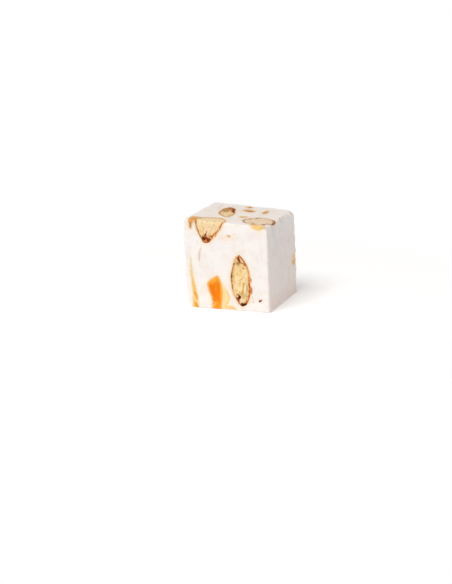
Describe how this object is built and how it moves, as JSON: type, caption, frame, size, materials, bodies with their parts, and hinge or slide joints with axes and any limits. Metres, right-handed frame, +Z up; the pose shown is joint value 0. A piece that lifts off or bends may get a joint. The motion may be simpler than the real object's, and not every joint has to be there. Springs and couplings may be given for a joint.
{
  "type": "nougat cube",
  "caption": "Cube of soft white nougat cut by knife, with sliced almonds and pieces of candied orange peel flush in its cut faces.",
  "frame": {"origin": "middle of the block's box on the flat face it rests on", "axes": "+Z up out of the top face, -Y out of the front face with the large cut almonds, +X out of the plain right face"},
  "size_m": [0.0354, 0.034, 0.0353],
  "materials": {
    "nougat": "soft matt sugar paste, knife cut",
    "almond_kernel": "cut kernel, satin, with a thin brown skin at its rim",
    "candied_peel_bright": "moist translucent orange peel",
    "candied_peel_honey": "moist translucent golden peel",
    "candied_peel_amber": "moist translucent dark amber peel"
  },
  "bodies": {
    "root": {"nougat_body": "nougat", "almond_corner": "almond_kernel", "almond_front": "almond_kernel", "almond_top_left": "almond_kernel", "almond_top_right": "almond_kernel", "almond_left": "almond_kernel", "almond_back_round": "almond_kernel", "almond_back_foot": "almond_kernel", "almond_back_sliver": "almond_kernel", "almond_foot": "almond_kernel", "peel_front": "candied_peel_bright", "peel_left_leaf": "candied_peel_bright", "peel_back_speck": "candied_peel_bright", "peel_foot": "candied_peel_bright", "peel_streak": "candied_peel_honey", "peel_under_almond": "candied_peel_honey", "peel_top_middle": "candied_peel_honey", "peel_right_edge": "candied_peel_honey", "peel_corner": "candied_peel_amber", "peel_top_back": "candied_peel_amber", "peel_top_leaf": "candied_peel_amber", "peel_top_strip": "candied_peel_amber", "peel_left_foot": "candied_peel_amber", "peel_back_crescent": "candied_peel_amber"}
  },
  "joints": []
}
